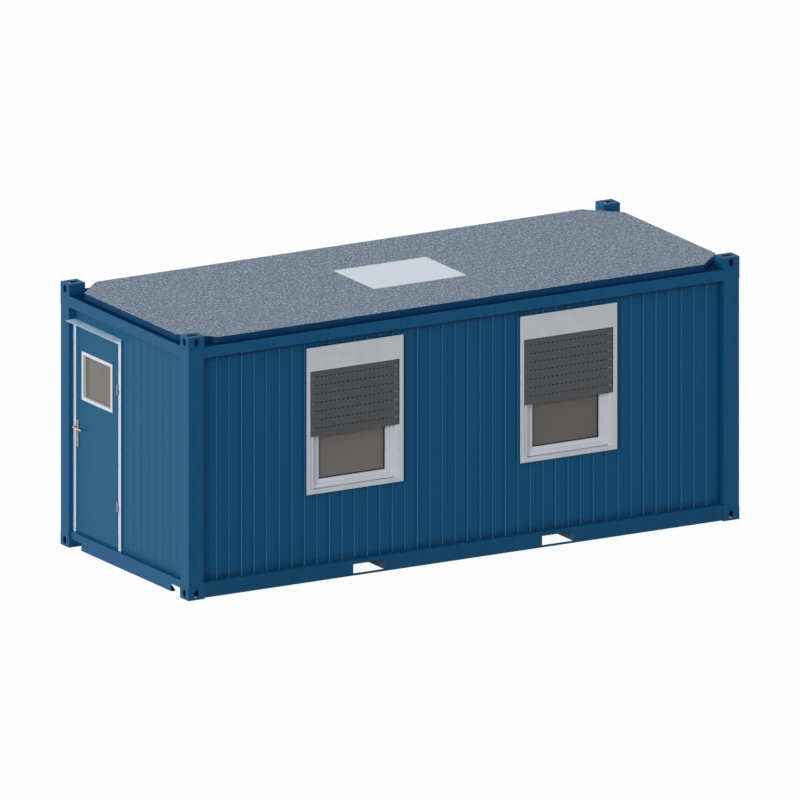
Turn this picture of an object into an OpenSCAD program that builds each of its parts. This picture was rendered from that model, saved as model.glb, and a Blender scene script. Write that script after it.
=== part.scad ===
// Twenty-foot office cabin: a welded steel frame with corner castings, insulated wall panels
// set back behind it, a door in one end and two shuttered windows in one long side.
// X runs along the cabin with the door end at -X, the windows face -Y, and the origin lies
// on the ground in the middle of the footprint.

/* [Overall size] */
// Length over the corner castings
cabin_l = 6055; // [5000:5:7300]
// Width over the corner castings
cabin_w = 2435; // [2025:5:2950]
// Height over the corner castings
cabin_h = 2591; // [2530:1:3110]

/* [Corner castings] */
// Length of a casting along the cabin
casting_l = 178; // [150:1:220]
// Width of a casting across the cabin
casting_w = 162; // [140:1:200]
// Height of a casting
casting_h = 118; // [100:1:136]
// Wall thickness of a casting
casting_t = 14; // [8:1:24]
// Length of the hole in a casting's top or bottom
lift_hole_l = 124; // [80:1:130]
// Width of the hole in a casting's top or bottom
lift_hole_w = 63; // [40:1:80]
// Height of the holes in a casting's sides
side_hole_h = 76; // [50:1:84]
// Width of the hole facing the long side
side_hole_w = 46; // [30:1:70]
// Width of the hole facing the end
end_hole_w = 60; // [40:1:80]

/* [Steel frame] */
// Plate thickness of rails and posts
plate_t = 4; // [3:1:8]
// Width of a post's face on the long side
post_l = 170; // [150:1:210]
// Width of a post's face on the end
post_w = 154; // [135:1:190]
// How far the posts stand back from the casting faces
post_setback = 2; // [1:1:10]
// Top of the floor rails above the ground
floor_top = 160; // [150:1:200]
// Clear height below the floor rails
rail_clearance = 8; // [4:1:14]
// How far the long floor rails stand back from the casting faces
side_rail_setback = 6; // [2:1:20]
// How far the end floor rails stand back from the casting faces
end_rail_setback = 20; // [4:1:30]
// Length of the cut-away beside each casting in the end floor rails
end_notch_l = 198; // [80:1:260]
// Top of that cut-away above the ground
end_notch_top = 86; // [50:1:110]
// Depth of the roof frame's lower edge below the top of the cabin
roof_frame_drop = 221; // [200:1:260]
// How far the roof rails stand up beside the castings
rail_lap = 7; // [3:1:20]

/* [Fork pockets] */
// Distance between the pocket centres
pocket_spacing = 2075; // [1500:5:2200]
// Clear width of a pocket
pocket_w = 350; // [250:1:420]
// Clear height of a pocket
pocket_h = 98; // [80:1:108]
// Bottom of the clear pocket above the ground
pocket_floor = 22; // [16:1:28]

/* [Floor] */
// Thickness of the floor board
floor_board_t = 22; // [16:1:30]
// How far the board's edge stays behind the walls' outer faces
floor_board_inset = 14; // [8:1:30]
// Number of cross members between the pockets and on each side of them
joists_per_bay = 3; // [1:1:6]
// Height of a cross member
joist_h = 100; // [60:1:110]
// Width of a cross member
joist_w = 50; // [30:1:80]

/* [Wall panels] */
// Set-back of the long walls from the casting faces
side_recess = 70; // [60:1:90]
// Set-back of the end walls from the casting faces
end_recess = 70; // [60:1:90]
// Thickness of a wall panel
wall_t = 60; // [45:1:80]
// Distance between the pressed grooves
groove_pitch = 138; // [100:1:220]
// Width of a groove at the face
groove_w = 30; // [16:1:50]
// Depth of a groove in the long walls
groove_d = 8; // [3:1:14]
// Depth of a groove in the end walls
end_groove_d = 2; // [1:1:14]
// Width of a groove's slanting flank
groove_flank = 2; // [1:0.5:7]

/* [Roof] */
// Thickness of the roof deck's sheet
deck_t = 4; // [2:1:20]
// Top of the deck below the top of the castings
deck_drop = 44; // [30:1:60]
// Set-back of the deck from the casting faces at the ends
deck_end_inset = 60; // [50:1:90]
// Set-back of the deck from the casting faces at the sides
deck_side_inset = 48; // [40:1:80]
// Length of the cut corner along each edge
deck_corner = 300; // [260:1:360]
// Set-back of the curb under the deck's rim
curb_inset = 6; // [2:1:20]
// Thickness of the ceiling board
ceiling_t = 33; // [15:1:60]
// Thickness of the corner gutter plates
gutter_plate_t = 4; // [2:1:8]

/* [Door] */
// Clear width between the jambs
door_clear_w = 811; // [760:1:900]
// Top of the door frame above the floor rails
door_frame_h = 2086; // [1930:1:2090]
// Set-back of the door frame from the casting faces
door_frame_recess = 52; // [30:1:60]
// Width of the jamb on the hinge side
jamb_w = 46; // [40:1:70]
// Width of the jamb beside the corner post
post_jamb_w = 46; // [40:1:70]
// Height of the frame's head
head_h = 53; // [40:1:70]
// Width of the stop that the leaf closes against
door_stop_w = 13; // [10:1:16]
// Gap round the leaf at its hinges, top and bottom
leaf_gap = 5.5; // [5:0.5:8]
// Gap at the leaf's closing edge, wide enough for its swing
closing_gap = 7.5; // [7:0.5:10]
// Thickness of the leaf
leaf_t = 44; // [36:1:50]
// How far the leaf lies behind the frame's face
leaf_sink = 2; // [0:1:6]
// Height of the threshold
threshold_h = 12; // [8:1:35]
// Height of the door handle's spindle above the floor rails
handle_z = 1050; // [900:1:1100]
// Distance from the spindle to the leaf's closing edge
handle_backset = 35; // [28:1:60]
// Length of the lever
lever_l = 165; // [110:1:180]
// Width of the door light over its trim
light_w = 580; // [400:1:600]
// Height of the door light over its trim
light_h = 478; // [300:1:560]
// Middle of the door light above the floor rails
light_z = 1571; // [1300:1:1600]
// Distance from the leaf's closing edge to the door light's trim
light_edge = 116; // [75:1:130]
// Width of the door light's trim strips
light_trim_w = 32; // [26:1:50]
// How far the door light's glass lies behind the leaf's face
door_glass_depth = 26; // [16:1:28]
// How far the rain canopy stands beyond the casting faces
canopy_reach = 30; // [10:1:80]
// Fall of the rain canopy towards its front
canopy_fall = 6; // [3:1:20]
// Thickness of the canopy's plate
canopy_t = 5; // [3:1:10]

/* [Windows] */
// Distance of each window's middle from the middle of the cabin
window_offset = 1174; // [900:1:1300]
// Width of a window over its cover frame
window_w = 1064; // [800:1:1300]
// Height of a window over its cover frame and shutter box
window_h = 1444; // [1100:1:1450]
// Bottom of the cover frame above the floor rails
window_sill = 698; // [500:1:760]
// Set-back of the cover frame from the casting faces
cover_recess = 38; // [30:1:50]
// Width of the cover frame's strips
cover_strip = 41; // [30:1:60]
// Width of the shutter's guide rails beside the opening
guide_w = 40; // [20:1:60]
// Set-back of the curtain behind the cover frame's face
curtain_setback = 6; // [2:1:10]
// Thickness of the curtain
curtain_t = 9; // [6:1:14]
// Height of the shutter box above the curtain
shutter_box_h = 234; // [150:1:260]
// How far the shutter curtain is lowered below its box
shutter_drop = 646; // [200:1:1000]
// Set-back of the fixed window frame behind the cover frame's face
frame_setback = 44; // [36:1:50]
// Visible width of the fixed window frame
window_frame_w = 40; // [30:1:60]
// Step from the fixed frame's face back to the sash's face
sash_step = 14; // [6:1:20]
// Visible width of the opening sash
sash_w = 43; // [35:1:60]
// Distance of the glass behind the cover frame's face
glass_depth = 88; // [78:1:96]

/* [Clearances] */
// Gap between two fixed pieces that seat on each other
seat_gap = 0.2; // [0.1:0.1:0.5]

/* [Hidden] */

$fn = 48;
eps = 0.01;

half_l = cabin_l / 2;
half_w = cabin_w / 2;

// Frame levels
roof_frame_z = cabin_h - roof_frame_drop;
casting_z = cabin_h - casting_h;
roof_rail_top = casting_z + rail_lap;
roof_rail_h = roof_rail_top - roof_frame_z;
deck_top = cabin_h - deck_drop;
deck_z = deck_top - deck_t;

// Wall planes: outer and inner face of the long walls (Y) and of the end walls (X)
wall_out_y = half_w - side_recess;
wall_in_y = wall_out_y - wall_t;
wall_out_x = half_l - end_recess;
wall_in_x = wall_out_x - wall_t;
wall_z = floor_top;
wall_top = casting_z;

// Inner edges of the castings and of the posts
cast_x = half_l - casting_l;
cast_y = half_w - casting_w;
post_x = half_l - post_l;
post_y = half_w - post_w;

// Doorway, measured along Y on the door end
frame_y1 = post_y;
frame_y0 = frame_y1 - post_jamb_w - door_clear_w - jamb_w;
clear_y0 = frame_y0 + jamb_w;
clear_y1 = frame_y1 - post_jamb_w;
clear_z1 = floor_top + door_frame_h - head_h;
frame_z1 = floor_top + door_frame_h;
frame_x = -half_l + door_frame_recess;
frame_back = -wall_in_x;
leaf_y0 = clear_y0 + leaf_gap;
leaf_y1 = clear_y1 - closing_gap;
leaf_z0 = floor_top + threshold_h + leaf_gap;
leaf_z1 = clear_z1 - leaf_gap;
leaf_x0 = frame_x + leaf_sink;
leaf_x1 = leaf_x0 + leaf_t;
stop_x = leaf_x1 + leaf_gap;

// Door light
light_y1 = leaf_y1 - light_edge;
light_y0 = light_y1 - light_w;
light_z0 = floor_top + light_z - light_h / 2;
trim_proud = 9;
trim_lap = 8;
glass_t = 6;
light_bed = 6;

// Door furniture
spindle_y = leaf_y1 - handle_backset;
spindle_z = floor_top + handle_z;
plate_w = 42;
plate_h = 266;
plate_thick = 10;
plate_below = 200;
spindle_r = 4;
spindle_hole_r = 5.5;
neck_r = 9;
neck_hole_r = 9.6;
neck_gap = 1;
lever_reach = 68;
lever_h = 20;
lever_thick = 12;

// Door hinges on the near jamb
hinge_r = 8;
hinge_pin_r = 4;
hinge_bore_r = 4.05;
hinge_bore_end = 5;
hinge_pin_end = 6;
hinge_half_h = 50;
hinge_stand = 11;
hinge_flap_t = 6;
hinge_flap_w = 18;
hinge_split = 1;
hinge_levels = [385, 1537];
hinge_x = frame_x - hinge_stand;
hinge_y = clear_y0 + leaf_gap / 2;

// Canopy
canopy_x0 = -half_l - canopy_reach;
canopy_seat = 3;

// Windows
window_z0 = floor_top + window_sill;
window_z1 = window_z0 + window_h;
cover_y = -half_w + cover_recess;
hole_w = window_w - 2 * cover_strip;
hole_z0 = window_z0 + cover_strip;
hole_z1 = window_z1 - cover_strip;
curtain_y = cover_y + curtain_setback;
curtain_top = window_z1 - shutter_box_h;
curtain_z0 = curtain_top - shutter_drop;
frame_front = cover_y + frame_setback;
frame_rear = -wall_in_y;
sash_front = frame_front + sash_step;
sash_rear_lap = 12;
glass_y = cover_y + glass_depth;
sash_rear = glass_y + sash_rear_lap;

// ---------------------------------------------------------------- helpers

// A box from its lowest to its highest corner
module block(lo, hi) {
    translate(lo) cube(hi - lo);
}

// Copies of the -X -Y corner piece at all four corners
module at_corners() {
    for (sx = [0, 1])
        for (sy = [0, 1])
            mirror([sx, 0, 0]) mirror([0, sy, 0]) children();
}

// A slot with round ends, centred, along its longer side
module slot2d(l, w) {
    r = min(l, w) / 2;
    if (l > w) {
        square([l - w, w], center = true);
        for (s = [-1, 1]) translate([s * (l - w) / 2, 0]) circle(r);
    } else {
        square([l, w - l], center = true);
        for (s = [-1, 1]) translate([0, s * (w - l) / 2]) circle(r);
    }
}

// ---------------------------------------------------------------- corner castings

// One casting at the -X -Y corner: a hollow block with a hole in its outer end, its outer side
// and its top or bottom
module casting(z0, open_top) {
    mid = [-half_l + casting_l / 2, -half_w + casting_w / 2];
    difference() {
        translate([-half_l, -half_w, z0]) cube([casting_l, casting_w, casting_h]);
        translate([-half_l + casting_t, -half_w + casting_t, z0 + casting_t])
            cube([casting_l, casting_w, casting_h] - [1, 1, 1] * 2 * casting_t);
        translate([mid[0], mid[1], open_top ? z0 + casting_h / 2 : z0 - 1])
            linear_extrude(casting_h / 2 + 1) slot2d(lift_hole_l, lift_hole_w);
        translate([mid[0], -half_w + casting_t + 1, z0 + casting_h / 2]) rotate([90, 0, 0])
            linear_extrude(casting_t + 2) slot2d(side_hole_w, side_hole_h);
        translate([-half_l - 1, mid[1], z0 + casting_h / 2]) rotate([90, 0, 90])
            linear_extrude(casting_t + 2) slot2d(end_hole_w, side_hole_h);
    }
}

module bottom_castings() {
    color("#2c5f80") at_corners() casting(0, false);
}

// The top castings with the corner pieces of the roof frame welded under them
module top_castings() {
    color("#2c5f80") at_corners() {
        casting(casting_z, true);
        translate([0, 0, roof_frame_z]) linear_extrude(casting_z - roof_frame_z)
            corner2d(0, casting_l, casting_w);
    }
}

// ---------------------------------------------------------------- steel frame

// L-shaped plan at the -X -Y corner, outside the wall panels: setback from the casting faces,
// reaching to l and w from the corner
module corner2d(setback, l, w) {
    x0 = -half_l + setback;
    y0 = -half_w + setback;
    x1 = -half_l + l;
    y1 = -half_w + w;
    polygon([[x0, y0], [x1, y0], [x1, -wall_out_y], [-wall_out_x, -wall_out_y],
        [-wall_out_x, y1], [x0, y1]]);
}

// Plan of the hollow inside a folded post, one plate inside its outline
module post_hollow2d() {
    x0 = -half_l + post_setback + plate_t;
    y0 = -half_w + post_setback + plate_t;
    x1 = -post_x - plate_t;
    y1 = -post_y - plate_t;
    xi = -wall_out_x - plate_t;
    yi = -wall_out_y - plate_t;
    polygon([[x0, y0], [x1, y0], [x1, yi], [xi, yi], [xi, y1], [x0, y1]]);
}

module corner_posts() {
    color("#1f567a") at_corners() translate([0, 0, casting_h])
        linear_extrude(roof_frame_z - casting_h) difference() {
            corner2d(post_setback, post_l, post_w);
            post_hollow2d();
        }
}

// A channel section of outer depth d and height h, open towards +X, drawn in X-Z
module channel2d(d, h) {
    difference() {
        square([d, h]);
        translate([plate_t, plate_t]) square([d, h - 2 * plate_t]);
    }
}

// A channel rail of height h on level z0 along the front long side, set back by s, from
// -reach to reach
module side_rail(z0, h, s, reach) {
    translate([-reach, -half_w + s, z0]) rotate([90, 0, 90])
        linear_extrude(2 * reach) channel2d(side_recess - s, h);
}

// The same along the door end
module end_rail(z0, h, s, reach) {
    translate([-half_l + s, reach, z0]) rotate([90, 0, 0])
        linear_extrude(2 * reach) channel2d(end_recess - s, h);
}

// The room that the bottom castings take up at the ends of the floor rails
module casting_room() {
    at_corners() block([-half_l, -half_w, 0], [-cast_x, -cast_y, casting_h]);
}

module floor_side_rails() {
    color("#144766") for (sy = [0, 1]) mirror([0, sy, 0]) difference() {
        side_rail(rail_clearance, floor_top - rail_clearance, side_rail_setback, post_x);
        casting_room();
        for (sx = [-1, 1])
            translate([sx * pocket_spacing / 2 - pocket_w / 2 - plate_t, -half_w, pocket_floor])
                cube([pocket_w + 2 * plate_t, side_recess + 1, pocket_h + plate_t]);
    }
}

module floor_end_rails() {
    z0 = rail_clearance + plate_t;
    color("#2c5f80") for (sx = [0, 1]) mirror([sx, 0, 0]) difference() {
        end_rail(z0, floor_top - z0, end_rail_setback, post_y);
        casting_room();
        for (sy = [0, 1]) mirror([0, sy, 0])
            translate([-half_l, -cast_y - 1, 0])
                cube([end_recess + 1, end_notch_l + 1, end_notch_top]);
    }
}

// Two covers bent over the way of a truck's forks, right through the floor frame and open
// at the bottom between the rails
module fork_pockets() {
    color("#144766") for (sx = [-1, 1]) translate([sx * pocket_spacing / 2, 0, 0])
        difference() {
            block([-pocket_w / 2 - plate_t, -half_w + side_rail_setback, pocket_floor],
                [pocket_w / 2 + plate_t, half_w - side_rail_setback,
                pocket_floor + pocket_h + plate_t]);
            block([-pocket_w / 2, -half_w, pocket_floor - 1],
                [pocket_w / 2, half_w, pocket_floor + pocket_h]);
        }
}

// Cross members in the middle bay and in the two outer bays, evenly spaced in each
module floor_cross_members() {
    y = half_w - side_rail_setback - plate_t;
    z1 = floor_top - floor_board_t;
    pocket_edge = pocket_spacing / 2 + pocket_w / 2 + plate_t;
    pocket_inner = pocket_spacing / 2 - pocket_w / 2 - plate_t;
    outer_span = half_l - end_recess - pocket_edge;
    inner_span = 2 * pocket_inner;
    at = concat(
        [for (i = [1 : joists_per_bay]) -pocket_inner + inner_span * i / (joists_per_bay + 1)],
        [for (s = [-1, 1]) for (i = [1 : joists_per_bay])
            s * (pocket_edge + outer_span * i / (joists_per_bay + 1))]);
    color("#6d7478") for (x = at)
        translate([x - joist_w / 2, -y, z1 - joist_h]) difference() {
            cube([joist_w, 2 * y, joist_h]);
            translate([plate_t, -1, plate_t])
                cube([joist_w, 2 * y + 2, joist_h - 2 * plate_t]);
        }
}

module floor_board() {
    x = wall_out_x - floor_board_inset;
    y = wall_out_y - floor_board_inset;
    color("#8d8a84") block([-x, -y, floor_top - floor_board_t], [x, y, floor_top]);
}

module roof_side_rails() {
    color("#2c5f80") for (sy = [0, 1]) mirror([0, sy, 0])
        side_rail(roof_frame_z, roof_rail_h, 0, cast_x);
}

module roof_end_rails() {
    color("#2c5f80") for (sx = [0, 1]) mirror([sx, 0, 0])
        end_rail(roof_frame_z, roof_rail_h, 0, cast_y);
}

// ---------------------------------------------------------------- roof

module ceiling() {
    color("#e4e4e0") block([-wall_in_x, -wall_in_y, wall_top - ceiling_t],
        [wall_in_x, wall_in_y, wall_top]);
}

// Outline of the deck with its four cut corners, drawn in by the amount inset
module deck2d(inset) {
    x = half_l - deck_end_inset - inset;
    y = half_w - deck_side_inset - inset;
    c = deck_corner - inset * (2 - sqrt(2));
    polygon([[-x + c, -y], [x - c, -y], [x, -y + c], [x, y - c],
        [x - c, y], [-x + c, y], [-x, y - c], [-x, -y + c]]);
}

// The roof's core with its upright blue edge, let in between the rails
module roof_curb() {
    color("#0c3c60") {
        translate([0, 0, roof_rail_top]) linear_extrude(deck_z - roof_rail_top)
            deck2d(curb_inset);
        translate([0, 0, wall_top]) linear_extrude(roof_rail_top - wall_top + eps)
            intersection() {
                deck2d(curb_inset);
                square([2 * wall_out_x, 2 * wall_out_y], center = true);
            }
    }
}

module roof_deck() {
    color("#8496a8") translate([0, 0, deck_z]) linear_extrude(deck_t) deck2d(0);
}

// Flat plates that close the roof frame's corners between curb and casting
module roof_corner_plates() {
    color("#2c5f80") at_corners() translate([0, 0, roof_rail_top])
        linear_extrude(gutter_plate_t) difference() {
            translate([-half_l + plate_t, -half_w + plate_t])
                square([deck_end_inset + deck_corner, deck_side_inset + deck_corner]);
            translate([-half_l, -half_w])
                square([casting_l + seat_gap, casting_w + seat_gap]);
            deck2d(curb_inset - seat_gap);
        }
}

// ---------------------------------------------------------------- wall panels

// Plan of the grooves in a wall that runs along X with its outer face on y = 0, between
// x0 and x1, of depth d. The rhythm is counted from the middle of the wall.
module grooves2d(x0, x1, side_margin, d) {
    n = ceil((x1 - x0) / groove_pitch / 2) + 1;
    half_span = (x1 - x0) / 2;
    for (i = [-n : n]) {
        x = (x0 + x1) / 2 + (i + 0.5) * groove_pitch;
        if (abs((i + 0.5) * groove_pitch) < half_span - side_margin)
            translate([x, 0]) polygon([[-groove_w / 2, -1], [groove_w / 2, -1],
                [groove_w / 2, 0], [groove_w / 2 - groove_flank, d], [groove_flank - groove_w / 2, d],
                [-groove_w / 2, 0]]);
    }
}

// A grooved panel slab of a long wall: x from x0 to x1, z from z0 to z1, on the front side
module long_wall(x0, x1, z0, z1) {
    translate([0, 0, z0]) linear_extrude(z1 - z0) difference() {
        translate([x0, -wall_out_y]) square([x1 - x0, wall_t]);
        translate([0, -wall_out_y]) grooves2d(-post_x, post_x, groove_w, groove_d);
    }
}

// A grooved panel slab of an end wall: y from y0 to y1, z from z0 to z1, on the door end
module end_wall(y0, y1, z0, z1) {
    translate([0, 0, z0]) linear_extrude(z1 - z0) difference() {
        translate([-wall_out_x, y0]) square([wall_t, y1 - y0]);
        translate([-wall_out_x, 0]) rotate(90) mirror([0, 1])
            grooves2d(-post_y, post_y, groove_w, end_groove_d);
    }
}

module back_wall() {
    color("#114366") mirror([0, 1, 0])
        long_wall(-wall_out_x, wall_out_x, wall_z, wall_top);
}

module far_end_wall() {
    color("#2c5f80") mirror([1, 0, 0]) end_wall(-wall_in_y, wall_in_y, wall_z, wall_top);
}

// The door end beside the doorway, with the narrow strip behind the far post
module door_wall_side() {
    color("#356482") {
        end_wall(-wall_in_y, frame_y0, wall_z, wall_top);
        end_wall(frame_y1, wall_in_y, wall_z, wall_top);
    }
}

module door_wall_head() {
    color("#356482") end_wall(frame_y0, frame_y1, frame_z1, wall_top);
}

// The window wall: full-height panels beside the windows, and those below and above them
module window_wall_panels() {
    edge = window_offset + hole_w / 2;
    inner = window_offset - hole_w / 2;
    color("#114366") {
        long_wall(-wall_out_x, -edge, wall_z, wall_top);
        long_wall(-inner, inner, wall_z, wall_top);
        long_wall(edge, wall_out_x, wall_z, wall_top);
    }
}

module window_wall_below() {
    color("#114366") for (s = [-1, 1])
        long_wall(s * window_offset - hole_w / 2, s * window_offset + hole_w / 2,
            wall_z, hole_z0);
}

module window_wall_above() {
    color("#114366") for (s = [-1, 1])
        long_wall(s * window_offset - hole_w / 2, s * window_offset + hole_w / 2,
            hole_z1, wall_top);
}

// ---------------------------------------------------------------- door

// Folded steel frame: jambs and head, with the stop behind the leaf
module door_frame() {
    color("#dfe3ea") difference() {
        block([frame_x, frame_y0, floor_top], [frame_back, frame_y1, frame_z1]);
        block([frame_x - 1, clear_y0, floor_top - 1], [stop_x, clear_y1, clear_z1]);
        block([stop_x - 1, clear_y0 + door_stop_w, floor_top - 1],
            [frame_back + 1, clear_y1 - door_stop_w, clear_z1 - door_stop_w]);
    }
}

module door_threshold() {
    color("#144766") {
        block([frame_x, clear_y0, floor_top], [stop_x, clear_y1, floor_top + threshold_h]);
        block([stop_x - eps, clear_y0 + door_stop_w, floor_top],
            [frame_back, clear_y1 - door_stop_w, floor_top + threshold_h + door_stop_w]);
    }
}

// A plate with a fall to the front, folded over the frame's head
module door_canopy() {
    color("#dfe3ea") translate([0, frame_y0, 0]) mirror([0, 1, 0]) rotate([90, 0, 0])
        linear_extrude(frame_y1 - frame_y0) polygon([
            [-wall_out_x, frame_z1],
            [-wall_out_x, frame_z1 + canopy_seat],
            [frame_x, frame_z1 + canopy_seat],
            [canopy_x0, frame_z1 + canopy_seat - canopy_fall],
            [canopy_x0, frame_z1 + canopy_seat - canopy_fall - canopy_t],
            [frame_x, frame_z1 + canopy_seat - canopy_t],
            [frame_x, frame_z1]]);
}

module door_leaf() {
    hole_m = light_trim_w - trim_lap;
    color("#356482") difference() {
        block([leaf_x0, leaf_y0, leaf_z0], [leaf_x1, leaf_y1, leaf_z1]);
        block([leaf_x0 - 1, light_y0 + hole_m, light_z0 + hole_m],
            [leaf_x1 + 1, light_y1 - hole_m, light_z0 + light_h - hole_m]);
        translate([leaf_x0 - 1, spindle_y, spindle_z]) rotate([0, 90, 0])
            cylinder(r = spindle_hole_r, h = leaf_t + 2);
    }
}

// White trim frames on both faces of the leaf, with a lining through the leaf
module door_light_trim() {
    lining = light_trim_w - trim_lap + seat_gap;
    glass_x = leaf_x0 + door_glass_depth;
    color("#dfe3ea") difference() {
        union() {
            block([leaf_x0 - trim_proud, light_y0, light_z0],
                [leaf_x0 - seat_gap, light_y1, light_z0 + light_h]);
            block([leaf_x1 + seat_gap, light_y0, light_z0],
                [leaf_x1 + trim_proud, light_y1, light_z0 + light_h]);
            block([leaf_x0 - 1, light_y0 + lining, light_z0 + lining],
                [leaf_x1 + 1, light_y1 - lining, light_z0 + light_h - lining]);
        }
        block([leaf_x0 - 2 * trim_proud, light_y0 + light_trim_w, light_z0 + light_trim_w],
            [leaf_x1 + 2 * trim_proud, light_y1 - light_trim_w,
            light_z0 + light_h - light_trim_w]);
        block([glass_x - seat_gap, light_y0 + light_trim_w - light_bed,
            light_z0 + light_trim_w - light_bed],
            [glass_x + glass_t + seat_gap, light_y1 - light_trim_w + light_bed,
            light_z0 + light_h - light_trim_w + light_bed]);
    }
}

module door_glass() {
    x = leaf_x0 + door_glass_depth;
    m = light_trim_w - light_bed + seat_gap;
    color("#77767a") block([x, light_y0 + m, light_z0 + m],
        [x + glass_t, light_y1 - m, light_z0 + light_h - m]);
}

// Long plates on both faces of the leaf, each with a round hole for the lever's neck
module door_handle_plates() {
    faces = [[leaf_x0 - plate_thick, leaf_x0], [leaf_x1, leaf_x1 + plate_thick]];
    color("#8f8576") for (face = faces)
        difference() {
            block([face[0], spindle_y - plate_w / 2, spindle_z - plate_below],
                [face[1], spindle_y + plate_w / 2, spindle_z - plate_below + plate_h]);
            translate([face[0] - 1, spindle_y, spindle_z]) rotate([0, 90, 0])
                cylinder(r = neck_hole_r, h = plate_thick + 2);
        }
}

// The two levers and the spindle that joins them through the leaf
module door_lever() {
    out_x = leaf_x0 - lever_reach;
    in_x = leaf_x1 + lever_reach;
    color("#b9b2a4") {
        for (x = [out_x, in_x - lever_thick])
            block([x, spindle_y - lever_l, spindle_z - lever_h / 2],
                [x + lever_thick, spindle_y + lever_h / 2, spindle_z + lever_h / 2]);
        translate([out_x + lever_thick / 2, spindle_y, spindle_z]) rotate([0, 90, 0])
            cylinder(r = neck_r, h = leaf_x0 - neck_gap - out_x - lever_thick / 2);
        translate([leaf_x1 + neck_gap, spindle_y, spindle_z]) rotate([0, 90, 0])
            cylinder(r = neck_r, h = in_x - lever_thick / 2 - leaf_x1 - neck_gap);
        translate([out_x + lever_thick / 4, spindle_y, spindle_z]) rotate([0, 90, 0])
            cylinder(r = spindle_r, h = in_x - out_x - lever_thick / 2);
    }
}

// Lower halves of the hinges, with their pins and the flaps on the jamb
module door_hinges_frame() {
    color("#c9ced4") for (z = hinge_levels) translate([hinge_x, hinge_y, floor_top + z]) {
        cylinder(r = hinge_r, h = hinge_half_h);
        cylinder(r = hinge_pin_r, h = 2 * hinge_half_h - hinge_pin_end);
        block([hinge_stand - hinge_flap_t, -hinge_flap_w, 0], [hinge_stand, 0, hinge_half_h]);
    }
}

// Upper halves of the hinges, bored for the pins, with the flaps on the leaf
module door_hinges_leaf() {
    color("#c9ced4") for (z = hinge_levels) translate([hinge_x, hinge_y, floor_top + z])
        difference() {
            union() {
                translate([0, 0, hinge_half_h + hinge_split])
                    cylinder(r = hinge_r, h = hinge_half_h - hinge_split);
                block([hinge_stand - hinge_flap_t, 0, hinge_half_h + hinge_split],
                    [hinge_stand, hinge_flap_w, 2 * hinge_half_h]);
                block([hinge_stand - eps, leaf_gap / 2 + 1, hinge_half_h + hinge_split],
                    [hinge_stand + leaf_sink, hinge_flap_w, 2 * hinge_half_h]);
            }
            translate([0, 0, hinge_half_h])
                cylinder(r = hinge_bore_r, h = hinge_half_h - hinge_bore_end);
        }
}

// ---------------------------------------------------------------- windows

// Cover frame round the window with the shutter box behind its top, s = -1 left, 1 right
module window_cover(s) {
    x0 = s * window_offset - window_w / 2;
    x1 = s * window_offset + window_w / 2;
    color("#cfd2da") difference() {
        union() {
            block([x0, cover_y, window_z0], [x1, -wall_out_y, window_z1]);
            block([x0 + cover_strip + seat_gap, -wall_out_y - 1, curtain_top],
                [x1 - cover_strip - seat_gap, -wall_in_y, hole_z1 - seat_gap]);
        }
        block([x0 + cover_strip, cover_y - 1, hole_z0],
            [x1 - cover_strip, -wall_out_y + 1, curtain_top]);
    }
}

// Slatted curtain, lowered part of the way out of its box
module window_shutter(s) {
    x0 = s * window_offset - hole_w / 2 + seat_gap;
    x1 = s * window_offset + hole_w / 2 - seat_gap;
    color("#494a4c") block([x0, curtain_y, curtain_z0],
        [x1, curtain_y + curtain_t, curtain_top - seat_gap]);
}

// Rails at both sides of the opening, behind the curtain's edges and before the frame
module window_guides(s) {
    y0 = curtain_y + curtain_t + seat_gap;
    color("#d3d6dc") for (side = [-1, 1]) {
        edge = s * window_offset + side * (hole_w / 2 - seat_gap);
        inner = edge - side * (guide_w - seat_gap);
        block([min(edge, inner), y0, hole_z0 + seat_gap],
            [max(edge, inner), frame_front - seat_gap, curtain_top - seat_gap]);
    }
}

// A rectangular ring in the X-Z plane, y from y0 to y1: upright strips wide across, level
// strips high
module ring(x0, x1, z0, z1, wide, high, y0, y1) {
    difference() {
        block([x0, y0, z0], [x1, y1, z1]);
        block([x0 + wide, y0 - 1, z0 + high], [x1 - wide, y1 + 1, z1 - high]);
    }
}

module window_frame(s) {
    x0 = s * window_offset - hole_w / 2 + seat_gap;
    x1 = s * window_offset + hole_w / 2 - seat_gap;
    color("#d9dbe0") ring(x0, x1, hole_z0 + seat_gap, curtain_top - seat_gap,
        guide_w + window_frame_w, window_frame_w, frame_front, frame_rear);
}

module window_sash(s) {
    inset = window_frame_w + 2 * seat_gap;
    x0 = s * window_offset - hole_w / 2 + guide_w + inset;
    x1 = s * window_offset + hole_w / 2 - guide_w - inset;
    color("#e2e3e6") difference() {
        ring(x0, x1, hole_z0 + inset, curtain_top - inset, sash_w, sash_w,
            sash_front, sash_rear);
        block([x0 + sash_w - light_bed, glass_y - seat_gap, hole_z0 + inset + sash_w - light_bed],
            [x1 - sash_w + light_bed, glass_y + glass_t + seat_gap,
            curtain_top - inset - sash_w + light_bed]);
    }
}

module window_glass(s) {
    inset = window_frame_w + 3 * seat_gap + sash_w - light_bed;
    half_glass = hole_w / 2 - guide_w - inset;
    color("#5f5c59") block(
        [s * window_offset - half_glass, glass_y, hole_z0 + inset],
        [s * window_offset + half_glass, glass_y + glass_t, curtain_top - inset]);
}

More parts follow.
